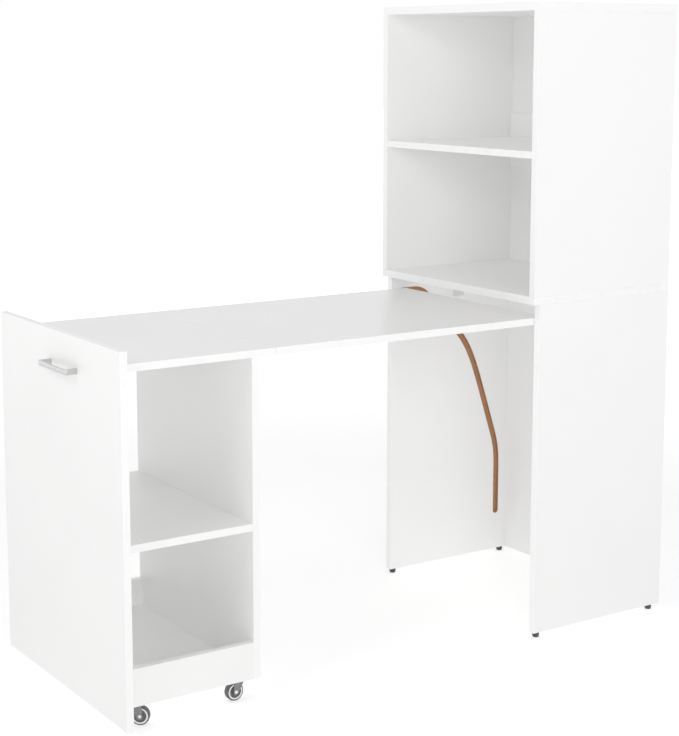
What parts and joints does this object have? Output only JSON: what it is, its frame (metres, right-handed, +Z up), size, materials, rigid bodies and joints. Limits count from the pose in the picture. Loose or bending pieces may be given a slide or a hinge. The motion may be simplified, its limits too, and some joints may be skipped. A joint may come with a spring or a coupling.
{
  "type": "sewing table",
  "caption": "Sewing table: a shelf tower with a wheeled cart that rolls into its lower bay while the table's leaf folds down behind it.",
  "frame": {"origin": "on the floor under the middle of the footprint, with the cart pulled right out", "axes": "+X from the cart towards the tower, +Y to the far side, +Z up"},
  "size_m": [1.485, 0.6, 1.47],
  "materials": {
    "tower_board": "white melamine board, fine satin grain",
    "cart_board": "white melamine board, fine satin grain",
    "table_board": "white melamine board, semi-gloss",
    "back_sheet": "white painted hardboard, matt",
    "beech": "raw fluted beech",
    "zinc": "die-cast zinc",
    "chrome": "polished",
    "pressed_steel": "zinc plated, dull",
    "hinge_steel": "zinc plated",
    "rivet_steel": "bright rolled head",
    "screw_steel": "zinc plated",
    "wheel_plastic": "grey nylon",
    "tyre": "soft black",
    "black_plastic": "moulded"
  },
  "bodies": {
    "tower": {"top_panel": "tower_board", "upper_side_near": "tower_board", "upper_side_far": "tower_board", "upper_bottom_panel": "tower_board", "upper_shelf": "tower_board", "back_rail": "tower_board", "back_sheet_top": "back_sheet", "back_sheet_bottom": "back_sheet", "bay_side_near": "tower_board", "bay_side_far": "tower_board", "bay_back_panel": "tower_board", "feet": "black_plastic", "tie_bracket_near": "pressed_steel", "tie_bracket_far": "pressed_steel", "tie_bracket_screws": "screw_steel", "carcass_screws": "screw_steel", "tower_dowels": "beech", "tower_cam_fittings": "zinc"},
    "cart": {"cart_front_panel": "cart_board", "cart_top": "table_board", "cart_rear_panel": "cart_board", "cart_shelf": "cart_board", "cart_floor": "cart_board", "cart_rail_near": "cart_board", "cart_rail_far": "cart_board", "handle": "chrome", "handle_screws": "screw_steel", "cart_dowels": "beech", "cart_cam_fittings": "zinc", "caster_plate_near_left": "pressed_steel", "caster_plate_near_right": "pressed_steel", "caster_plate_far_left": "pressed_steel", "caster_plate_far_right": "pressed_steel", "caster_plate_screws": "screw_steel", "hinge_fixed_leaf_near": "hinge_steel", "hinge_fixed_leaf_far": "hinge_steel", "hinge_pin_near": "hinge_steel", "hinge_pin_far": "hinge_steel", "hinge_screws_cart": "screw_steel"},
    "leaf": {"leaf_board": "table_board", "guide_pins": "rivet_steel", "hinge_moving_leaf_near": "hinge_steel", "hinge_moving_leaf_far": "hinge_steel", "hinge_screws_leaf": "screw_steel"},
    "fork_near_left": {"caster_fork_near_left": "pressed_steel", "caster_axle_near_left": "rivet_steel"},
    "wheel_near_left": {"caster_hub_near_left": "wheel_plastic", "caster_tyre_near_left": "tyre"},
    "fork_near_right": {"caster_fork_near_right": "pressed_steel", "caster_axle_near_right": "rivet_steel"},
    "wheel_near_right": {"caster_hub_near_right": "wheel_plastic", "caster_tyre_near_right": "tyre"},
    "fork_far_left": {"caster_fork_far_left": "pressed_steel", "caster_axle_far_left": "rivet_steel"},
    "wheel_far_left": {"caster_hub_far_left": "wheel_plastic", "caster_tyre_far_left": "tyre"},
    "fork_far_right": {"caster_fork_far_right": "pressed_steel", "caster_axle_far_right": "rivet_steel"},
    "wheel_far_right": {"caster_hub_far_right": "wheel_plastic", "caster_tyre_far_right": "tyre"}
  },
  "joints": [
    {"name": "cart_slide", "type": "slide", "parent": "tower", "child": "cart", "axis": [1, 0, 0], "range_m": [0, 1.037]},
    {"name": "leaf_fold", "type": "hinge", "parent": "cart", "child": "leaf", "pos_m": [-0.3515, 0, 0.7397], "axis": [0, 1, 0], "range_deg": [0, 90]},
    {"name": "swivel_near_left", "type": "hinge", "parent": "cart", "child": "fork_near_left", "pos_m": [-0.6635, -0.232, 0.0475], "axis": [0, 0, 1], "continuous": true},
    {"name": "roll_near_left", "type": "hinge", "parent": "fork_near_left", "child": "wheel_near_left", "pos_m": [-0.65404, -0.23939, 0.02], "axis": [0.6157, 0.788, 0], "continuous": true},
    {"name": "swivel_near_right", "type": "hinge", "parent": "cart", "child": "fork_near_right", "pos_m": [-0.4185, -0.232, 0.0475], "axis": [0, 0, 1], "continuous": true},
    {"name": "roll_near_right", "type": "hinge", "parent": "fork_near_right", "child": "wheel_near_right", "pos_m": [-0.43049, -0.23242, 0.02], "axis": [0.0349, -0.9994, 0], "continuous": true},
    {"name": "swivel_far_left", "type": "hinge", "parent": "cart", "child": "fork_far_left", "pos_m": [-0.6635, 0.232, 0.0475], "axis": [0, 0, 1], "continuous": true},
    {"name": "roll_far_left", "type": "hinge", "parent": "fork_far_left", "child": "wheel_far_left", "pos_m": [-0.65222, 0.2361, 0.02], "axis": [-0.342, 0.9397, 0], "continuous": true},
    {"name": "swivel_far_right", "type": "hinge", "parent": "cart", "child": "fork_far_right", "pos_m": [-0.4185, 0.232, 0.0475], "axis": [0, 0, 1], "continuous": true},
    {"name": "roll_far_right", "type": "hinge", "parent": "fork_far_right", "child": "wheel_far_right", "pos_m": [-0.43009, 0.23511, 0.02], "axis": [-0.2588, -0.9659, 0], "continuous": true}
  ],
  "couplings": [
    {"joint": "leaf_fold", "follows": "cart_slide", "rad_per_m": 1.5147}
  ]
}
